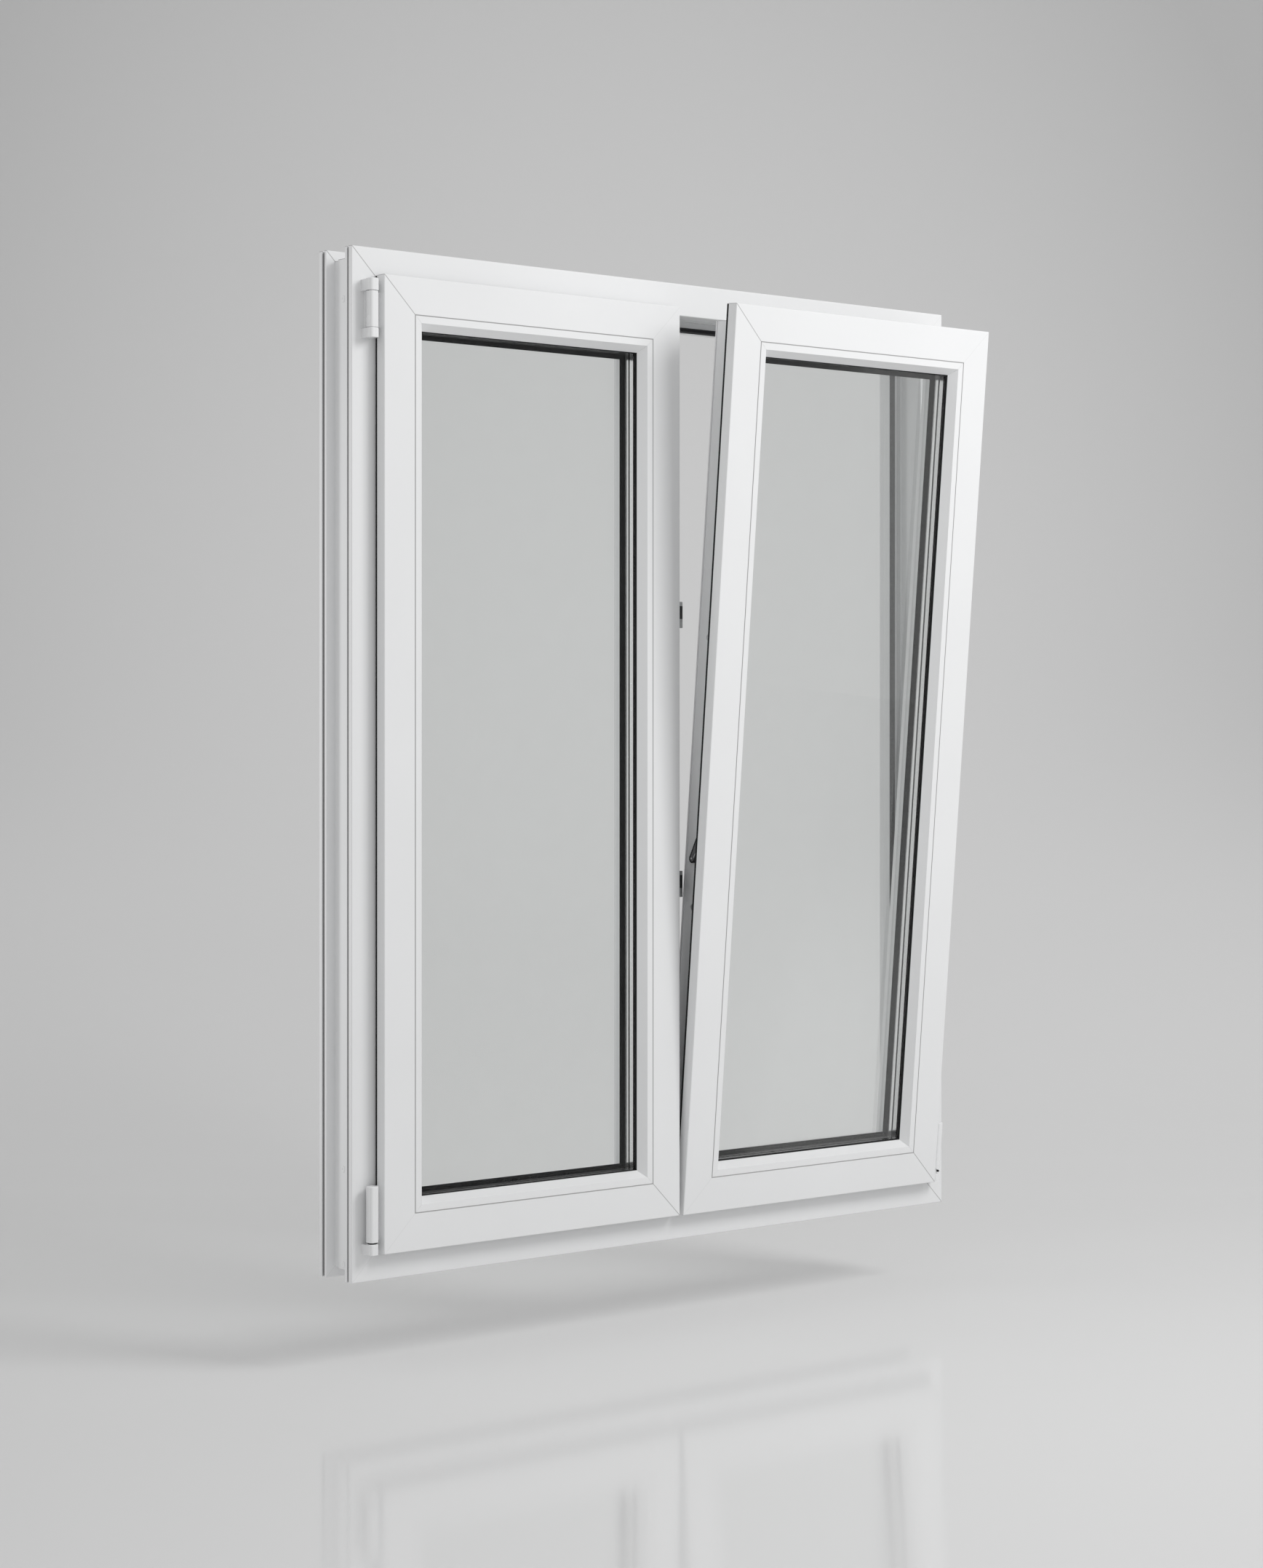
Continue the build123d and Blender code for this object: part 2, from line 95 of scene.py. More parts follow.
# lever: its outer face, its middle as y and height, its turn from level, and its spring's stops as
# depth and height in millimetres
LEVER_FACE = 23.0 * MM
LEVER_MIDDLE = (FRONT_Y + 18.3 * MM, 505 * MM)
LEVER_TURN = math.radians(113)
LEVER_HALF = 14.5 * MM
SPRING_STOPS = ((12.0, 511.0), (13.0, 505.0), (15.0, 502.0), (18.0, 498.0), (19.5, 494.0))

# hinge pins, and the stay's joints where they stand in the tilted pose, in millimetres
HINGE_Y = FRONT_Y - 13 * MM
LEFT_PIN_X = -476.8 * MM
RIGHT_PIN_X = 470.5 * MM
STAY_JOINTS = ((190.7, -92.8, 1193.5), (325.0, -56.2, 1193.5), (418.1, -92.8, 1191.0))

# camera, then the sweep's section, the backdrop's painted shade falloff and the lamps, in metres and degrees
CAMERA_PLACE = Vector((-2.5860, -3.0632, 0.6691))
CAMERA_TURN = math.radians(-39.4913)
CAMERA_LENS = 70.97
CAMERA_SHIFT = -0.03876
SWEEP_FRONT = -4.2
SWEEP_FLAT = 0.68
SWEEP_BEND = 3.3
SWEEP_STEPS = 48
SWEEP_TOP = 7.0
SWEEP_HALF = 7.0
CLIMB_TOP = 0.9
FALLOFF_MIDDLE = (-0.22, 0.67)
FALLOFF_WIDTH = 1.3
FALLOFF_REACH = 5.6
KEY_PLACE = Vector((1.0, -2.1, 2.15))
KEY_TARGET = Vector((0.0, 0.0, 0.62))
KEY_SIZE = (1.15, 1.15)
RIM_PLACE = Vector((-1.75, 1.45, 0.65))
RIM_TARGET = Vector((-0.5, 0.03, 0.65))
RIM_SIZE = (0.5, 1.2)
RIM_SPREAD = 25

LEVEL_GEAR = ("stay_arm", "stay_support_arm", "stay_faceplate", "bottom_faceplate", "stay_sliders")
UPRIGHT_GEAR = ("lock_faceplate", "locking_cams", "mullion_strikers", "frame_strikers")


class WindowSettings(bpy.types.PropertyGroup):
    """Sizes and colours that a user would change."""

    profile_colour: bpy.props.FloatVectorProperty(
        name="Profile colour", description="White of the plastic bars", subtype="COLOR",
        default=(0.86, 0.865, 0.87), min=0, max=1, size=3)
    seam_colour: bpy.props.FloatVectorProperty(
        name="Seam colour", description="Grey of the welded corners and bead joints", subtype="COLOR",
        default=(0.45, 0.45, 0.45), min=0, max=1, size=3)
    rubber_colour: bpy.props.FloatVectorProperty(
        name="Rubber colour", description="Black of the sealing strips", subtype="COLOR",
        default=(0.012, 0.012, 0.013), min=0, max=1, size=3)
    steel_colour: bpy.props.FloatVectorProperty(
        name="Steel colour", description="Zinc-plated gear", subtype="COLOR",
        default=(0.55, 0.555, 0.56), min=0, max=1, size=3)
    lever_colour: bpy.props.FloatVectorProperty(
        name="Lever colour", description="Dark lever in the lock edge", subtype="COLOR",
        default=(0.17, 0.17, 0.175), min=0, max=1, size=3)
    spacer_colour: bpy.props.FloatVectorProperty(
        name="Spacer colour", description="Aluminium bar between the panes", subtype="COLOR",
        default=(0.97, 0.97, 0.97), min=0, max=1, size=3)
    glass_colour: bpy.props.FloatVectorProperty(
        name="Glass colour", description="What one pane face lets through", subtype="COLOR",
        default=(0.992, 0.996, 0.994), min=0, max=1, size=3)
    glass_gloss: bpy.props.FloatProperty(
        name="Glass gloss", description="Share of a clean pane's reflection that is kept",
        default=0.12, min=0, max=1)
    # painted shade: the share of the weld grey kept where a weld lies along the light
    far_seam: bpy.props.FloatProperty(
        name="Far seam", description="Strength of the welds along the light, against those across it",
        default=0.12, min=0, max=1)
    seam_width: bpy.props.FloatProperty(
        name="Seam width", description="Width of the welded corner line", unit="LENGTH",
        default=1.1 * MM, min=0.1 * MM, max=4 * MM)
    floor_drop: bpy.props.FloatProperty(
        name="Floor drop", description="Height of the window above the floor", unit="LENGTH",
        default=0.108, min=0, max=1)
    key_power: bpy.props.FloatProperty(
        name="Key power", description="Power of the large soft lamp", unit="POWER",
        default=34.5, min=0, max=1000)
    rim_power: bpy.props.FloatProperty(
        name="Rim power", description="Power of the lamp behind the left jamb", unit="POWER",
        default=0.65, min=0, max=1000)
    screw_colour: bpy.props.FloatVectorProperty(
        name="Screw colour", description="Bright steel of screws, rivets and the spring", subtype="COLOR",
        default=(0.72, 0.725, 0.73), min=0, max=1, size=3)
    plug_radius: bpy.props.FloatProperty(
        name="Plug radius", description="Radius of the plugs in the fixing bores", unit="LENGTH",
        default=4.4 * MM, min=3.2 * MM, max=8 * MM)
    slot_width: bpy.props.FloatProperty(
        name="Slot width", description="Width of the slots in the lock faceplate", unit="LENGTH",
        default=11 * MM, min=4 * MM, max=15 * MM)
    spring_radius: bpy.props.FloatProperty(
        name="Spring radius", description="Half the thickness of the lever's spring wire", unit="LENGTH",
        default=0.6 * MM, min=0.2 * MM, max=2 * MM)
    floor_colour: bpy.props.FloatVectorProperty(
        name="Floor colour", description="Pale grey of the floor and backdrop", subtype="COLOR",
        default=(0.84, 0.84, 0.84), min=0, max=1, size=3)
    # painted shade: the grey that the backdrop darkens to towards its corners
    backdrop_shade_colour: bpy.props.FloatVectorProperty(
        name="Backdrop shade colour", description="Grey that the backdrop falls off to", subtype="COLOR",
        default=(0.60, 0.60, 0.60), min=0, max=1, size=3)
    fill_level: bpy.props.FloatProperty(
        name="Fill level", description="Strength of the even light all round", default=0.6, min=0, max=2)


def settings():
    """The user's sizes and colours."""
    return bpy.context.scene.window_settings


# node helpers


def new_material(name):
    """An empty node material with its output, and the list of its nodes."""
    material = bpy.data.materials.new(name)
    material.use_nodes = True
    material.node_tree.nodes.clear()
    output = material.node_tree.nodes.new("ShaderNodeOutputMaterial")
    return material, material.node_tree, output


def join(tree, source, target):
    """A link from one socket to another."""
    tree.links.new(source, target)


def math_node(tree, operation, a, b=None):
    """One arithmetic step, its terms sockets or numbers."""
    made = tree.nodes.new("ShaderNodeMath")
    made.operation = operation
    for place, term in enumerate((a, b)):
        if term is None:
            continue
        if isinstance(term, (int, float)):
            made.inputs[place].default_value = term
        else:
            tree.links.new(term, made.inputs[place])
    return made.outputs[0]


def noise(tree, vector, scale, detail):
    """Cloudy noise between 0 and 1."""
    made = tree.nodes.new("ShaderNodeTexNoise")
    made.inputs["Scale"].default_value = scale
    made.inputs["Detail"].default_value = detail
    tree.links.new(vector, made.inputs["Vector"])
    return made.outputs["Fac"]


def ramp(tree, fac, low, high, from_low=0.0, from_high=1.0, kind="LINEAR"):
    """A number carried from one range to another and clamped there."""
    made = tree.nodes.new("ShaderNodeMapRange")
    made.interpolation_type = kind
    made.inputs["From Min"].default_value = from_low
    made.inputs["From Max"].default_value = from_high
    made.inputs["To Min"].default_value = low
    made.inputs["To Max"].default_value = high
    tree.links.new(fac, made.inputs["Value"])
    return made.outputs["Result"]


def mix_colour(tree, fac, a, b):
    """Colour a where fac is 0 and colour b where it is 1."""
    made = tree.nodes.new("ShaderNodeMix")
    made.data_type = "RGBA"
    tree.links.new(fac, made.inputs[0])
    for socket, colour in ((made.inputs[6], a), (made.inputs[7], b)):
        if isinstance(colour, tuple):
            socket.default_value = (*colour[:3], 1.0)
        else:
            tree.links.new(colour, socket)
    return made.outputs[2]


def bump(tree, height, strength, distance):
    """A normal leaned by the slope of a height."""
    made = tree.nodes.new("ShaderNodeBump")
    made.inputs["Strength"].default_value = strength
    made.inputs["Distance"].default_value = distance
    tree.links.new(height, made.inputs["Height"])
    return made.outputs["Normal"]


def object_vector(tree, tilted):
    """Object coordinates, turned back upright about the pivot on the tilted sash."""
    place = tree.nodes.new("ShaderNodeTexCoord").outputs["Object"]
    mapping = tree.nodes.new("ShaderNodeMapping")
    mapping.vector_type = "TEXTURE"
    if tilted:
        mapping.inputs["Location"].default_value = PIVOT
        mapping.inputs["Rotation"].default_value = (TILT, 0, 0)
    tree.links.new(place, mapping.inputs["Vector"])
    return mapping.outputs["Vector"]


def shade(colour, factor):
    """A colour made darker or lighter, no channel past 1."""
    return tuple(min(1.0, channel * factor) for channel in colour)


def plastic(name, centre, half, tilted, joint=0.0, grooves=()):
    """White plastic bars, welded where they meet at 45 degrees.

    The weld lies where the distances inward from the side edge and from the top or bottom
    edge are equal: half width - |x - cx| = half height - |z - cz|. A scraped weld shows as a
    fine V groove; its grey line is partly the weld's own colour and partly painted shade of that
    groove, full where the groove lies across the light (top left and bottom right) and weak where
    it lies along the light. The bead joint lies where the smaller of the two distances equals the
    joint's, on the room side only. Grooves are ranges of depth: just inside the outer edge
    their floors are painted darker, since hardly any light gets down to them.
    """
    options = settings()
    material, tree, output = new_material(name)
    place = object_vector(tree, tilted)
    split = tree.nodes.new("ShaderNodeSeparateXYZ")
    join(tree, place, split.inputs[0])
    dx = math_node(tree, "SUBTRACT", split.outputs[0], centre[0])
    dz = math_node(tree, "SUBTRACT", split.outputs[2], centre[1] - (PIVOT.z if tilted else 0.0))
    side = math_node(tree, "SUBTRACT", half[0], math_node(tree, "ABSOLUTE", dx))
    end = math_node(tree, "SUBTRACT", half[1], math_node(tree, "ABSOLUTE", dz))
    apart = math_node(tree, "ABSOLUTE", math_node(tree, "SUBTRACT", side, end))
    away = math_node(tree, "MULTIPLY", apart, math.sqrt(0.5))
    weld = ramp(tree, away, 1.0, 0.0, options.seam_width * 0.15, options.seam_width * 0.65)
    # welds across the light (top left, bottom right) keep the full grey, welds along it only far_seam of it:
    # the grey is the weld's own colour, its strength by corner is painted shade of the groove
    across_light = math_node(tree, "LESS_THAN", math_node(tree, "MULTIPLY", dx, dz), 0.0)
    weld = math_node(tree, "MULTIPLY", weld, ramp(tree, across_light, options.far_seam, 1.0))
    line = weld
    if joint:
        inward = math_node(tree, "MINIMUM", side, end)
        off = math_node(tree, "ABSOLUTE", math_node(tree, "SUBTRACT", inward, joint))
        near = ramp(tree, off, 1.0, 0.0, options.seam_width * 0.3, options.seam_width * 0.9)
        front = FRONT_Y - (PIVOT.y if tilted else 0.0) - SASH_FACE_STEP
        room = math_node(tree, "LESS_THAN", split.outputs[1], front)
        inside = math_node(tree, "LESS_THAN", inward, joint)
        near = math_node(tree, "MULTIPLY", near, room)
        line = math_node(tree, "MAXIMUM", math_node(tree, "MULTIPLY", weld, inside), near)
    cloud = noise(tree, place, 6.0, 3.0)
    grain = noise(tree, place, 900.0, 2.0)
    white = tuple(options.profile_colour)
    base = mix_colour(tree, ramp(tree, cloud, 0.0, 1.0, 0.3, 0.7), shade(white, 0.985), shade(white, 1.01))
    colour = mix_colour(tree, line, base, tuple(options.seam_colour))
    for near_end, far_end in grooves:
        rim = math_node(tree, "MINIMUM", side, end)
        middle = FRONT_Y + (near_end + far_end) / 2
        within = math_node(tree, "ABSOLUTE", math_node(tree, "SUBTRACT", split.outputs[1], middle))
        within = math_node(tree, "LESS_THAN", within, (far_end - near_end) / 2 + 0.05 * MM)
        deep = math_node(tree, "MULTIPLY", math_node(tree, "GREATER_THAN", rim, 0.9 * MM),
                         math_node(tree, "LESS_THAN", rim, 3.5 * MM))
        colour = mix_colour(tree, math_node(tree, "MULTIPLY", within, deep), colour, shade(white, 0.45))
    shader = tree.nodes.new("ShaderNodeBsdfPrincipled")
    join(tree, colour, shader.inputs["Base Color"])
    rough = math_node(tree, "ADD", ramp(tree, cloud, 0.26, 0.34), math_node(tree, "MULTIPLY", line, 0.3))
    join(tree, rough, shader.inputs["Roughness"])
    shader.inputs["IOR"].default_value = 1.5
    height = math_node(tree, "SUBTRACT", math_node(tree, "MULTIPLY", grain, 0.02), line)
    join(tree, bump(tree, height, 0.5, 0.4 * MM), shader.inputs["Normal"])
    join(tree, shader.outputs[0], output.inputs[0])
    return material


def rubber(name):
    """Matt black sealing rubber: fine grain and a slight bloom."""
    material, tree, output = new_material(name)
    place = object_vector(tree, False)
    grain = noise(tree, place, 1500.0, 3.0)
    bloom = noise(tree, place, 25.0, 4.0)
    black = tuple(settings().rubber_colour)
    colour = mix_colour(tree, ramp(tree, bloom, 0.0, 1.0, 0.35, 0.75), black, shade(black, 1.8))
    shader = tree.nodes.new("ShaderNodeBsdfPrincipled")
    join(tree, colour, shader.inputs["Base Color"])
    join(tree, ramp(tree, bloom, 0.5, 0.65), shader.inputs["Roughness"])
    shader.inputs["Specular IOR Level"].default_value = 0.2
    join(tree, bump(tree, grain, 0.25, 0.1 * MM), shader.inputs["Normal"])
    join(tree, shader.outputs[0], output.inputs[0])
    return material


def metal(name, colour, rough, streak):
    """Plated steel: fine streaks along the bar and cloudy zinc."""
    material, tree, output = new_material(name)
    place = tree.nodes.new("ShaderNodeTexCoord").outputs["Object"]
    mapping = tree.nodes.new("ShaderNodeMapping")
    mapping.inputs["Scale"].default_value = streak
    join(tree, place, mapping.inputs["Vector"])
    lines = noise(tree, mapping.outputs[0], 60.0, 3.0)
    cloud = noise(tree, place, 90.0, 3.0)
    shader = tree.nodes.new("ShaderNodeBsdfPrincipled")
    blotch = ramp(tree, cloud, 0.0, 1.0, 0.35, 0.7)
    tone = mix_colour(tree, blotch, shade(colour, 0.85), shade(colour, 1.1))
    join(tree, tone, shader.inputs["Base Color"])
    shader.inputs["Metallic"].default_value = 1.0
    join(tree, ramp(tree, lines, rough - 0.08, rough + 0.1), shader.inputs["Roughness"])
    join(tree, bump(tree, lines, 0.15, 0.05 * MM), shader.inputs["Normal"])
    join(tree, shader.outputs[0], output.inputs[0])
    return material


def lever_finish(name):
    """Cast lever: mid-grey face, its edge drawn dark beyond a set distance from the middle line.

    The distance is that of a slot: across the middle line, and past its ends along it too.
    """
    material, tree, output = new_material(name)
    place = object_vector(tree, True)
    split = tree.nodes.new("ShaderNodeSeparateXYZ")
    join(tree, place, split.inputs[0])
    depth = math_node(tree, "SUBTRACT", split.outputs[1], LEVER_MIDDLE[0] - PIVOT.y)
    height = math_node(tree, "SUBTRACT", split.outputs[2], LEVER_MIDDLE[1] - PIVOT.z)
    lean, rise = math.cos(LEVER_TURN), math.sin(LEVER_TURN)
    across = math_node(tree, "ADD", math_node(tree, "MULTIPLY", depth, rise),
                       math_node(tree, "MULTIPLY", height, -lean))
    along = math_node(tree, "ADD", math_node(tree, "MULTIPLY", depth, lean),
                      math_node(tree, "MULTIPLY", height, rise))
    past = math_node(tree, "SUBTRACT", math_node(tree, "ABSOLUTE", along), LEVER_HALF)
    past = math_node(tree, "MAXIMUM", past, 0.0)
    square = math_node(tree, "ADD", math_node(tree, "MULTIPLY", across, across),
                       math_node(tree, "MULTIPLY", past, past))
    edge = ramp(tree, math_node(tree, "SQRT", square), 0.0, 1.0, 2.9 * MM, 3.9 * MM)
    cloud = noise(tree, place, 400.0, 3.0)
    tone = tuple(settings().lever_colour)
    face = mix_colour(tree, ramp(tree, cloud, 0.0, 1.0, 0.3, 0.7), shade(tone, 0.8), shade(tone, 1.3))
    shader = tree.nodes.new("ShaderNodeBsdfPrincipled")
    join(tree, mix_colour(tree, edge, face, shade(tone, 0.1)), shader.inputs["Base Color"])
    shader.inputs["Metallic"].default_value = 0.3
    join(tree, ramp(tree, cloud, 0.35, 0.5), shader.inputs["Roughness"])
    join(tree, bump(tree, math_node(tree, "SUBTRACT", 1.0, edge), 0.4, 0.3 * MM), shader.inputs["Normal"])
    join(tree, shader.outputs[0], output.inputs[0])
    return material


def spacer_bar(name, tilted):
    """Bright aluminium spacer with a dark line along its middle."""
    material, tree, output = new_material(name)
    place = object_vector(tree, tilted)
    split = tree.nodes.new("ShaderNodeSeparateXYZ")
    join(tree, place, split.inputs[0])
    start = FRONT_Y - (PIVOT.y if tilted else 0.0)
    depth = math_node(tree, "SUBTRACT", split.outputs[1], start + SPACER_DEPTH)
    middle = ramp(tree, math_node(tree, "ABSOLUTE", depth), 1.0, 0.0, 1.0 * MM, 1.6 * MM)
    cloud = noise(tree, place, 300.0, 2.0)
    tone = tuple(settings().spacer_colour)
    plain = mix_colour(tree, ramp(tree, cloud, 0.0, 1.0, 0.3, 0.7), shade(tone, 0.96), shade(tone, 1.02))
    colour = mix_colour(tree, middle, plain, shade(tone, 0.04))
    shader = tree.nodes.new("ShaderNodeBsdfPrincipled")
    join(tree, colour, shader.inputs["Base Color"])
    shader.inputs["Metallic"].default_value = 0.9
    join(tree, ramp(tree, cloud, 0.14, 0.22), shader.inputs["Roughness"])
    join(tree, bump(tree, math_node(tree, "SUBTRACT", 1.0, middle), 0.3, 0.2 * MM), shader.inputs["Normal"])
    join(tree, shader.outputs[0], output.inputs[0])
    return material


def glass(name):
    """Thin clear float glass: light goes straight through, and a faint coat mirrors the room.

    The mirror's share is Fresnel's for glass times the gloss setting; waviness moves it a little.
    """
    options = settings()
    material, tree, output = new_material(name)
    place = object_vector(tree, False)
    wave = noise(tree, place, 3.0, 1.0)
    normal = bump(tree, wave, 0.02, 0.1 * MM)
    fresnel = tree.nodes.new("ShaderNodeFresnel")
    fresnel.inputs["IOR"].default_value = 1.45
    clear = tree.nodes.new("ShaderNodeBsdfTransparent")
    haze = noise(tree, place, 40.0, 3.0)
    tint = tuple(options.glass_colour)
    join(tree, mix_colour(tree, haze, tint, shade(tint, 0.99)), clear.inputs[0])
    mirror = tree.nodes.new("ShaderNodeBsdfGlossy")
    mirror.inputs["Color"].default_value = (1, 1, 1, 1)
    mirror.inputs["Roughness"].default_value = 0.02
    join(tree, normal, mirror.inputs["Normal"])
    mixed = tree.nodes.new("ShaderNodeMixShader")
    join(tree, math_node(tree, "MULTIPLY", fresnel.outputs[0], options.glass_gloss), mixed.inputs[0])
    join(tree, clear.outputs[0], mixed.inputs[1])
    join(tree, mirror.outputs[0], mixed.inputs[2])
    join(tree, mixed.outputs[0], output.inputs[0])
    return material


def painted(name, colour, rough):
    """Smooth moulded plastic or paint of one colour, faintly clouded and grained."""
    material, tree, output = new_material(name)
    place = object_vector(tree, False)
    cloud = noise(tree, place, 40.0, 3.0)
    grain = noise(tree, place, 1200.0, 2.0)
    shader = tree.nodes.new("ShaderNodeBsdfPrincipled")
    tone = mix_colour(tree, cloud, shade(colour, 0.98), shade(colour, 1.01))
    join(tree, tone, shader.inputs["Base Color"])
    join(tree, ramp(tree, cloud, rough - 0.04, rough + 0.06), shader.inputs["Roughness"])
    join(tree, bump(tree, grain, 0.06, 0.05 * MM), shader.inputs["Normal"])
    join(tree, shader.outputs[0], output.inputs[0])
    return material


def give(name, material):
    """One finish for a whole CAD node."""
    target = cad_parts[name]
    target.data.materials.clear()
    target.data.materials.append(material)


def sash_plastic(side, middle, half_height, tilted):
    """White plastic of one sash, its welds and bead joint placed from its own rails."""
    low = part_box(side + "_sash_bottom_rail")[0]
    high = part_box(side + "_sash_top_rail")[1]
    centre = ((low.x + high.x) / 2, middle)
    half = ((high.x - low.x) / 2, half_height)
    return plastic("white_" + side + "_sash_plastic", centre, half, tilted, BEAD_JOINT)


class WINDOW_OT_finishes(bpy.types.Operator):
    """Give every CAD node its finish"""

    bl_idname = "window.finishes"
    bl_label = "Finishes"

    def execute(self, context):
        options = settings()
        frame_low, frame_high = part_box("frame_sill")[0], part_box("frame_head")[1]
        centre = ((frame_low.x + frame_high.x) / 2, (frame_low.z + frame_high.z) / 2)
        half = ((frame_high.x - frame_low.x) / 2, (frame_high.z - frame_low.z) / 2)
        whites = {
            "frame": plastic("white_frame_plastic", centre, half, False, grooves=FRAME_GROOVES),
            "left": sash_plastic("left", centre[1], half[1] - MARGIN, False),
            "right": sash_plastic("right", centre[1], half[1] - MARGIN, True),
        }
        black = rubber("sealing_rubber")
        clear = glass("clear_glass")
        upright_steel = metal("plated_steel_upright", tuple(options.steel_colour), 0.32, (8, 8, 0.6))
        level_steel = metal("plated_steel_level", tuple(options.steel_colour), 0.32, (0.6, 8, 8))
        dark = lever_finish("cast_lever")
        bars = {"left": spacer_bar("left_spacer_bar", False), "right": spacer_bar("right_spacer_bar", True)}
        cover = painted("hinge_cover_plastic", tuple(options.profile_colour), 0.25)
        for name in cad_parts:
            side = name.split("_")[0]
            if "gasket" in name:
                give(name, black)
            elif name.endswith("_glass"):
                give(name, clear)
            elif name.endswith("_spacer"):
                give(name, bars[side])
            elif ("hinge_" in name and "stile" not in name) or "pivot" in name or name == "stay_bearing":
                give(name, cover)
            elif name == "misoperation_lever":
                give(name, dark)
            elif name in LEVEL_GEAR:
                give(name, level_steel)
            elif name in UPRIGHT_GEAR:
                give(name, upright_steel)
            elif side in whites:
                give(name, whites[side])
            else:
                give(name, whites["left"])
        return {"FINISHED"}


def add_mesh(name, points, faces, material):
    """A smooth-shaded mesh object at the origin from arrays of points and faces."""
    mesh = bpy.data.meshes.new(name)
    mesh.from_pydata(points.tolist(), [], [list(face) for face in faces])
    mesh.update()
    mesh.polygons.foreach_set("use_smooth", np.full(len(mesh.polygons), True))
    made = bpy.data.objects.new(name, mesh)
    bpy.context.scene.collection.objects.link(made)
    made.data.materials.append(material)
    return made


def leaned(points):
    """Points of the tilted sash's pieces, turned about the pivot with it."""
    matrix = np.array(TILT_MATRIX)
    return points @ matrix[:3, :3].T + matrix[:3, 3]


def web(rows, columns, start=0):
    """Quads of a grid whose columns close into a ring."""
    row = np.arange(rows - 1)[:, None] * columns
    here = np.arange(columns)[None, :]
    after = (here + 1) % columns
    quads = np.stack([row + here, row + after, row + columns + after, row + columns + here], -1)
    return (quads.reshape(-1, 4) + start).tolist()


def grid(rows, columns):
    """Quads of an open grid."""
    corner = np.arange(rows - 1)[:, None] * columns + np.arange(columns - 1)[None, :]
    corner = corner.reshape(-1)
    return np.stack([corner, corner + columns, corner + columns + 1, corner + 1], -1)


def disc(centre, normal, radius, rule, rings=14, turns=40):
    """A round cap on a flat seat: height over the seat = rule(share of the radius, angle)."""
    normal = np.array(normal, float)
    side = np.cross(normal, (0.0, 0.6, 0.8))
    side /= np.linalg.norm(side)
    other = np.cross(normal, side)
    around = np.linspace(0, 2 * math.pi, turns, endpoint=False)
    share, angle = np.meshgrid(np.linspace(0.04, 1, rings), around, indexing="ij")
    height = rule(share, angle)[..., None]
    flat = radius * share[..., None] * (np.cos(angle)[..., None] * side + np.sin(angle)[..., None] * other)
    return (np.array(centre) + flat + height * normal).reshape(-1, 3), rings, turns


def join_discs(discs):
    """The points and faces of several caps as one mesh, the middle ring of each closed by one face."""
    points, faces, start = [], [], 0
    for cloud, rings, turns in discs:
        points.append(cloud)
        faces += web(rings, turns, start)
        faces.append(list(range(start + turns - 1, start - 1, -1)))
        start += len(cloud)
    return np.concatenate(points), faces


def smooth_step(low, high, value):
    """0 below low, 1 above high, 3t^2 - 2t^3 between."""
    t = np.clip((value - low) / (high - low), 0, 1)
    return t * t * (3 - 2 * t)


def cross_head(height):
    """A shallow dome, height times the root of 1 - s^2, with a cross cut to 0.9 of its height into it.

    The cross is where |s sin a| or |s cos a| is under about 0.15 and s is under about 0.62.
    """
    def rule(share, angle):
        dome = height * np.sqrt(np.clip(1 - share**2, 0, 1))
        bar = np.minimum(np.abs(share * np.sin(angle)), np.abs(share * np.cos(angle)))
        cut = (1 - smooth_step(0.11, 0.19, bar)) * (1 - smooth_step(0.56, 0.68, share))
        return dome * (1 - 0.9 * cut)
    return rule


def dimpled(height, dimple):
    """A plug: height times 1 - s^6, less a dimple times e to the -(s / 0.28)^2."""
    def rule(share, angle):
        return height * (1 - share**6) - dimple * np.exp(-((share / 0.28) ** 2))
    return rule


def riveted(height):
    """A rivet: height times the root of 1 - s^2, with a turned groove at two thirds of its radius."""
    def rule(share, angle):
        groove = np.exp(-(((share - 0.66) / 0.07) ** 2))
        return height * np.sqrt(np.clip(1 - share**2, 0, 1)) * (1 - 0.25 * groove)
    return rule


def stud(height):
    """A plain stud: its full height to 0.88 of the radius, then a rounded fall to the seat."""
    def rule(share, angle):
        return height * (1 - smooth_step(0.88, 1.0, share))
    return rule


def tube(path, radius, turns=12):
    """A round section carried along a path: each ring stands square to the path's own direction."""
    path = np.array(path, float)
    along = np.gradient(path, axis=0)
    along /= np.linalg.norm(along, axis=1)[:, None]
    side = np.cross(along, (1.0, 0.0, 0.0))
    side /= np.linalg.norm(side, axis=1)[:, None]
    other = np.cross(along, side)
    angle = np.linspace(0, 2 * math.pi, turns, endpoint=False)[None, :, None]
    rings = path[:, None] + radius * (np.cos(angle) * side[:, None] + np.sin(angle) * other[:, None])
    faces = web(len(path), turns)
    faces.append(list(range(turns - 1, -1, -1)))
    faces.append(list(range((len(path) - 1) * turns, len(path) * turns)))
    return rings.reshape(-1, 3), faces


def turned(profile, x, y, turns=48):
    """A profile of radius and height turned about the upright line through x and y."""
    profile = np.array(profile, float)
    angle = np.linspace(0, 2 * math.pi, turns, endpoint=False)[None, :]
    radius, height = profile[:, 0:1], profile[:, 1:2]
    points = np.stack([x + radius * np.cos(angle), y + radius * np.sin(angle), height + 0 * angle], -1)
    return points.reshape(-1, 3), web(len(profile), turns)


def fit(name, points, faces, material, slot):
    """Adds one finished piece to the scene, hung from the root body's empty."""
    piece = add_mesh(name, points, faces, material)
    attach(piece, "root")
    return piece


def screws(name, places, normal, radius, tilted=False):
    """One mesh of like cross-headed screws, each on its seat."""
    points, faces = join_discs([disc(place, normal, radius, cross_head(0.55 * radius)) for place in places])
    steel = metal(name + "_steel", tuple(settings().screw_colour), 0.3, (3, 3, 3))
    return fit(name, leaned(points) if tilted else points, faces, steel, "gear")


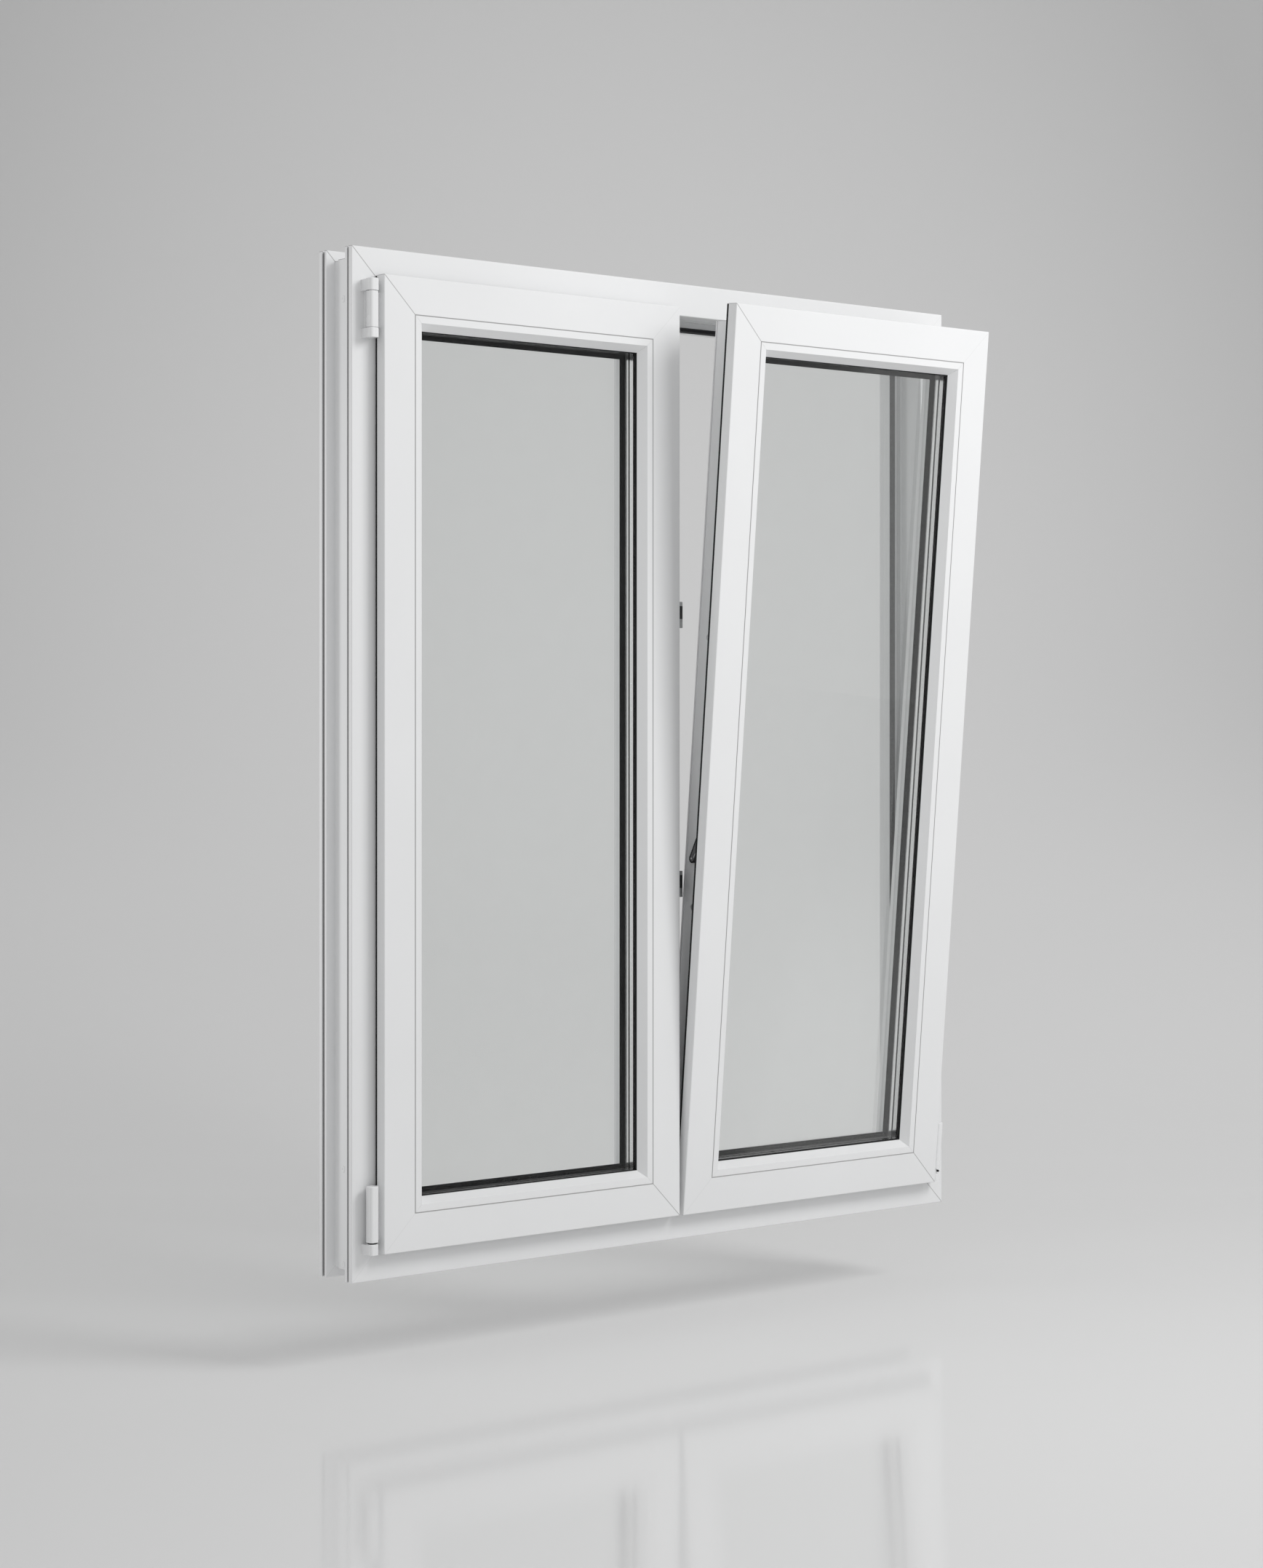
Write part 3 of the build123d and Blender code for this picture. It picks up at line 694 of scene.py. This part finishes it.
class WINDOW_OT_fixing_plugs(bpy.types.Operator):
    """Close the fixing bores in the jambs' outer channels with dimpled plugs"""

    bl_idname = "window.fixing_plugs"
    bl_label = "Fixing plugs"

    def execute(self, context):
        plug = painted("white_plug_plastic", tuple(settings().profile_colour), 0.3)
        for side, name in ((-1, "left_fixing_plugs"), (1, "right_fixing_plugs")):
            discs = [
                disc((side * JAMB_FLOOR, FIXING_Y, height), (side, 0, 0), settings().plug_radius,
                     dimpled(1.1 * MM, 0.9 * MM), 18)
                for height in FIXING_HEIGHTS
            ]
            fit(name, *join_discs(discs), plug, "profile")
        return {"FINISHED"}


class WINDOW_OT_striker_screws(bpy.types.Operator):
    """Screw the lock keepers to the mullion and the frame"""

    bl_idname = "window.striker_screws"
    bl_label = "Striker screws"

    def execute(self, context):
        radius = 2.4 * MM
        mullion = [
            (STRIKER_TOP, STRIKER_Y, middle + end) for middle in MULLION_STRIKERS for end in STRIKER_SCREWS
        ]
        jamb = [(JAMB_STRIKER[0], STRIKER_Y, JAMB_STRIKER[1] + end) for end in STRIKER_SCREWS]
        head = [(HEAD_STRIKER[0] + end, STRIKER_Y, HEAD_STRIKER[1]) for end in STRIKER_SCREWS]
        sill = [(SILL_STRIKER[0] - end, STRIKER_Y, SILL_STRIKER[1]) for end in STRIKER_SCREWS]
        screws("mullion_striker_screws", mullion, (1, 0, 0), radius)
        screws("jamb_striker_screws", jamb, (-1, 0, 0), radius)
        screws("head_striker_screws", head, (0, 0, -1), radius)
        screws("sill_striker_screws", sill, (0, 0, 1), radius)
        return {"FINISHED"}


class WINDOW_OT_striker_slot_shade(bpy.types.Operator):
    """Lay black pads over the keepers' front walls, as painted shade of their slots"""

    bl_idname = "window.striker_inserts"
    bl_label = "Striker slot shade"

    def execute(self, context):
        # pillow on the front wall, painted shade standing for the dark inside the keeper's slot: thickness t
        # (1 - |u|^6) (1 - |v|^6) over the half width and half height
        half_width, half_height = 4.9 * MM, 8.4 * MM
        u, v = np.meshgrid(np.linspace(-1, 1, 19), np.linspace(-1, 1, 27), indexing="ij")
        thickness = 0.8 * MM * (1 - np.abs(u) ** 6) * (1 - np.abs(v) ** 6)
        quads = grid(*u.shape)
        points, faces = [], []
        for middle in MULLION_STRIKERS:
            pad = np.stack([
                STRIKER_TOP - half_width + half_width * u,
                STRIKER_FRONT - thickness,
                middle + STRIKER_SLOT_UP + half_height * v,
            ], -1).reshape(-1, 3)
            faces += (quads + len(points) * len(pad)).tolist()
            points.append(pad)
        black = painted("black_striker_slot_shade", tuple(settings().rubber_colour), 0.4)
        fit("mullion_striker_slot_shade", np.concatenate(points), faces, black, "gear")
        return {"FINISHED"}


class WINDOW_OT_faceplate_screws(bpy.types.Operator):
    """Screw the gear's faceplates into the tilted sash"""

    bl_idname = "window.faceplate_screws"
    bl_label = "Faceplate screws"

    def execute(self, context):
        radius = 3.4 * MM
        lock = [(LOCK_FACE, GEAR_Y, height) for height in LOCK_SCREWS]
        bottom = [(x, GEAR_Y, BOTTOM_FACE) for x in BOTTOM_SCREWS]
        stay = [(x, GEAR_Y, STAY_FACE) for x in STAY_SCREWS]
        screws("lock_faceplate_screws", lock, (-1, 0, 0), radius, True)
        screws("bottom_faceplate_screws", bottom, (0, 0, -1), radius, True)
        screws("stay_faceplate_screws", stay, (0, 0, 1), radius, True)
        return {"FINISHED"}


class WINDOW_OT_cam_slots(bpy.types.Operator):
    """Set the slots with pressed rims into the lock faceplate as dark sheets, painted shade of the slots'
    hollows
    """

    bl_idname = "window.cam_slots"
    bl_label = "Cam slots"

    def execute(self, context):
        # outline of a slot at a share s of its half width: two half circles joined by straight sides.
        # It lies just over the faceplate as a dark sheet, painted shade of the slot's hollow, and a pressed
        # rim stands up at s = 0.93.
        angle = np.linspace(0, 2 * math.pi, 64, endpoint=False)
        share = np.array([0.05, 0.5, 0.86, 0.93, 1.0])[:, None]
        lift = np.array([0.12, 0.12, 0.12, 0.75, 0.0])[:, None] * MM
        half_width = settings().slot_width / 2
        points, faces = [], []
        for middle, half in LOCK_SLOTS:
            straight = half * MM * np.sign(np.sin(angle)) * np.minimum(share * 1.2, 1)
            ring = np.stack([
                LOCK_FACE - lift + 0 * angle[None, :],
                GEAR_Y + half_width * share * np.cos(angle),
                middle * MM + half_width * share * np.sin(angle) + straight,
            ], -1)
            start = len(points) * ring.shape[0] * ring.shape[1]
            faces += web(ring.shape[0], ring.shape[1], start)
            faces.append(list(range(start, start + ring.shape[1])))
            points.append(ring.reshape(-1, 3))
        # dark sheets: painted shade of the slots' hollows
        dark = painted("slot_shade_sheet", tuple(settings().rubber_colour), 0.5)
        fit("lock_faceplate_slots", leaned(np.concatenate(points)), faces, dark, "gear")
        return {"FINISHED"}


class WINDOW_OT_lever_fittings(bpy.types.Operator):
    """Rivet the lever and lay its spring"""

    bl_idname = "window.lever_fittings"
    bl_label = "Lever rivet and spring"

    def execute(self, context):
        steel = metal("bright_spring_steel", tuple(settings().screw_colour), 0.25, (2, 2, 2))
        lean, rise = math.cos(LEVER_TURN), math.sin(LEVER_TURN)
        end = (LEVER_MIDDLE[0] - lean * LEVER_HALF, LEVER_MIDDLE[1] - rise * LEVER_HALF)
        seat = (LEVER_FACE, end[0] + 1.2 * MM, end[1] + 0.5 * MM)
        points, faces = join_discs([disc(seat, (-1, 0, 0), 1.7 * MM, riveted(1.1 * MM))])
        fit("lever_rivet", leaned(points), faces, steel, "gear")
        # spring: a round wire along the cubic that lies closest to its stops, given as depth and height
        stops = np.array(SPRING_STOPS) * MM
        step = np.linspace(0, len(stops) - 1, 40)
        knots = np.arange(len(stops))
        shape = np.polynomial.polynomial.polyfit(knots, stops, 3)
        path = np.polynomial.polynomial.polyval(step, shape).T
        across = LEVER_FACE - settings().spring_radius
        path = np.column_stack([np.full(len(path), across), FRONT_Y + path[:, 0], path[:, 1]])
        points, faces = tube(path, settings().spring_radius)
        fit("lever_spring", leaned(points), faces, steel, "gear")
        return {"FINISHED"}


class WINDOW_OT_hinge_fittings(bpy.types.Operator):
    """Put the ring, whose black is painted shade of the gap round the pin, the collar and the locking screw
    on the lower hinges' pins
    """

    bl_idname = "window.hinge_fittings"
    bl_label = "Hinge pin fittings"

    def execute(self, context):
        black = painted("black_gap_shade_and_screw", tuple(settings().rubber_colour), 0.35)
        steel = metal("hinge_pin_steel", tuple(settings().screw_colour), 0.2, (1, 1, 8))
        # the ring's and the collar's sections, as radius and height
        gap_ring = ((3.1, 47.0), (5.3, 47.0), (5.5, 47.2), (5.5, 47.6), (5.3, 47.8), (3.1, 47.8))
        collar = ((3.05, 47.8), (3.3, 47.9), (3.3, 48.9), (3.05, 49.0))
        # black ring in the gap between cup and sleeve: painted shade of that gap; the locking screw below
        # shares its black material as its own colour
        points, faces = turned(np.array(gap_ring) * MM, LEFT_PIN_X, HINGE_Y)
        fit("left_lower_hinge_gap_shade_ring", points, faces, black, "gear")
        points, faces = turned(np.array(collar) * MM, LEFT_PIN_X, HINGE_Y)
        fit("left_lower_hinge_collar", points, faces, steel, "gear")
        seat = (RIGHT_PIN_X + 1.9 * MM, HINGE_Y - 2.2 * MM, 47.6 * MM)
        points, faces = join_discs([disc(seat, (0, -1, 0), 1.7 * MM, stud(3.1 * MM), 24)])
        fit("right_pivot_locking_screw", points, faces, black, "gear")
        return {"FINISHED"}


class WINDOW_OT_stay_rivets(bpy.types.Operator):
    """Rivet the two arms of the stay at their joints"""

    bl_idname = "window.stay_rivets"
    bl_label = "Stay rivets"

    def execute(self, context):
        steel = metal("stay_rivet_steel", tuple(settings().screw_colour), 0.3, (3, 3, 3))
        discs = [disc(np.array(place) * MM, (0, 0, 1), 4.2 * MM, riveted(1.8 * MM)) for place in STAY_JOINTS]
        fit("stay_rivets", *join_discs(discs), steel, "gear")
        return {"FINISHED"}


def add_camera(scene):
    """The camera that took the photograph, as fitted to the window's corners."""
    camera = bpy.data.cameras.new("photo_camera")
    camera.lens = CAMERA_LENS
    camera.sensor_width = 36
    camera.sensor_fit = "AUTO"
    camera.shift_y = CAMERA_SHIFT
    camera.clip_end = 60
    holder = bpy.data.objects.new("photo_camera", camera)
    holder.location = CAMERA_PLACE
    holder.rotation_euler = (math.radians(90), 0, CAMERA_TURN)
    scene.collection.objects.link(holder)
    scene.camera = holder


def sweep_finish():
    """Pale satin paint: smooth on the floor and a little rougher up the wall, where painted shade, a falloff
    of light, darkens it towards the corners.

    This painted shade grows with the square of the distance from a point behind the window, across the view
    and up, and only where the sweep has climbed off the floor.
    """
    options = settings()
    material, tree, output = new_material("pale_sweep")
    place = tree.nodes.new("ShaderNodeTexCoord").outputs["Object"]
    split = tree.nodes.new("ShaderNodeSeparateXYZ")
    join(tree, place, split.inputs[0])
    climb = ramp(tree, split.outputs[2], 0.0, 1.0, -options.floor_drop, CLIMB_TOP, "SMOOTHERSTEP")
    turn = -CAMERA_TURN
    across_view = math_node(tree, "ADD", math_node(tree, "MULTIPLY", split.outputs[0], math.cos(turn)),
                            math_node(tree, "MULTIPLY", split.outputs[1], -math.sin(turn)))
    wide = math_node(tree, "SUBTRACT", across_view, FALLOFF_MIDDLE[0])
    wide = math_node(tree, "MULTIPLY", wide, FALLOFF_WIDTH)
    high = math_node(tree, "SUBTRACT", split.outputs[2], FALLOFF_MIDDLE[1])
    spread = math_node(tree, "ADD", math_node(tree, "MULTIPLY", wide, wide),
                       math_node(tree, "MULTIPLY", high, high))
    # painted shade: the wall darkens towards its corners, as a falloff of light would darken it
    corner = math_node(tree, "MULTIPLY", ramp(tree, spread, 0.0, 1.0, 0.0, FALLOFF_REACH), climb)
    shader = tree.nodes.new("ShaderNodeBsdfPrincipled")
    pale, dim = tuple(options.floor_colour), tuple(options.backdrop_shade_colour)
    join(tree, mix_colour(tree, corner, pale, dim), shader.inputs["Base Color"])
    join(tree, ramp(tree, climb, 0.09, 0.26), shader.inputs["Roughness"])
    shader.inputs["Specular IOR Level"].default_value = 0.24
    join(tree, shader.outputs[0], output.inputs[0])
    return material


def add_sweep():
    """A floor that turns up into a wall, its section carried across the view.

    The section's direction turns by 90 degrees times 3 t^2 - 2 t^3 along the bend, so that no line shows.
    """
    lean = math.pi / 2 * smooth_step(0, 1, np.linspace(0, 1, SWEEP_STEPS + 1))
    steps = np.column_stack([np.cos(lean), np.sin(lean)]) * SWEEP_BEND / SWEEP_STEPS
    bend = np.array([SWEEP_FLAT, 0.0]) + np.cumsum(steps, axis=0)
    section = np.vstack([(SWEEP_FRONT, 0.0), (SWEEP_FLAT, 0.0), bend, (bend[-1, 0], SWEEP_TOP)])
    across = np.linspace(-SWEEP_HALF, SWEEP_HALF, 15)
    u, place = np.meshgrid(across, np.arange(len(section)), indexing="ij")
    away, up = section[place, 0], section[place, 1]
    turn = -CAMERA_TURN
    points = np.stack([
        u * math.cos(turn) + away * math.sin(turn),
        -u * math.sin(turn) + away * math.cos(turn),
        up - settings().floor_drop,
    ], -1).reshape(-1, 3)
    floor = add_mesh("pale_floor", points, grid(*u.shape), sweep_finish())


class WINDOW_OT_stage(bpy.types.Operator):
    """Lay the pale floor and backdrop, hang the lamps and set the camera"""

    bl_idname = "window.stage"
    bl_label = "Stage"

    def execute(self, context):
        scene = context.scene
        options = settings()
        add_camera(scene)
        add_sweep()
        lamp("key_lamp", KEY_PLACE, KEY_TARGET, KEY_SIZE, options.key_power)
        lamp("rim_lamp", RIM_PLACE, RIM_TARGET, RIM_SIZE, options.rim_power, RIM_SPREAD)
        world = bpy.data.worlds.new("even_light")
        scene.world = world
        world.use_nodes = True
        background = world.node_tree.nodes["Background"]
        background.inputs["Color"].default_value = (1, 1, 1, 1)
        background.inputs["Strength"].default_value = options.fill_level
        scene.view_settings.view_transform = "Standard"
        return {"FINISHED"}


def lamp(name, place, target, size, power, spread=180):
    """A lamp of a width and height that points at the target, its beam spread in degrees."""
    data = bpy.data.lights.new(name, "AREA")
    data.shape = "RECTANGLE"
    data.energy = power
    data.size, data.size_y = size
    data.spread = math.radians(spread)
    made = bpy.data.objects.new(name, data)
    made.location = place
    made.rotation_euler = (target - place).to_track_quat("-Z", "Y").to_euler()
    made.visible_glossy = False
    made.visible_camera = False
    bpy.context.scene.collection.objects.link(made)
    return made


class WINDOW_PT_panel(bpy.types.Panel):
    """Lists the steps that dress the window"""

    bl_label = "Plastic Window"
    bl_idname = "WINDOW_PT_panel"
    bl_space_type = "VIEW_3D"
    bl_region_type = "UI"
    bl_category = "Window"

    def draw(self, context):
        layout = self.layout
        for operator in OPERATORS:
            layout.operator(operator.bl_idname)
        for name in WindowSettings.__annotations__:
            layout.prop(context.scene.window_settings, name)


OPERATORS = (
    WINDOW_OT_stage,
    WINDOW_OT_finishes,
    WINDOW_OT_fixing_plugs,
    WINDOW_OT_striker_screws,
    WINDOW_OT_striker_slot_shade,
    WINDOW_OT_faceplate_screws,
    WINDOW_OT_cam_slots,
    WINDOW_OT_lever_fittings,
    WINDOW_OT_hinge_fittings,
    WINDOW_OT_stay_rivets,
)
CLASSES = (WindowSettings, *OPERATORS, WINDOW_PT_panel)


def register():
    """Makes the settings, the operators and the panel known."""
    for kind in CLASSES:
        bpy.utils.register_class(kind)
    bpy.types.Scene.window_settings = bpy.props.PointerProperty(type=WindowSettings)


def unregister():
    """Takes them away again."""
    del bpy.types.Scene.window_settings
    for kind in reversed(CLASSES):
        bpy.utils.unregister_class(kind)


def main():
    """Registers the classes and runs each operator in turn."""
    register()
    bpy.ops.window.stage()
    bpy.ops.window.finishes()
    bpy.ops.window.fixing_plugs()
    bpy.ops.window.striker_screws()
    bpy.ops.window.striker_inserts()
    bpy.ops.window.faceplate_screws()
    bpy.ops.window.cam_slots()
    bpy.ops.window.lever_fittings()
    bpy.ops.window.hinge_fittings()
    bpy.ops.window.stay_rivets()


if __name__ == "__main__":
    main()
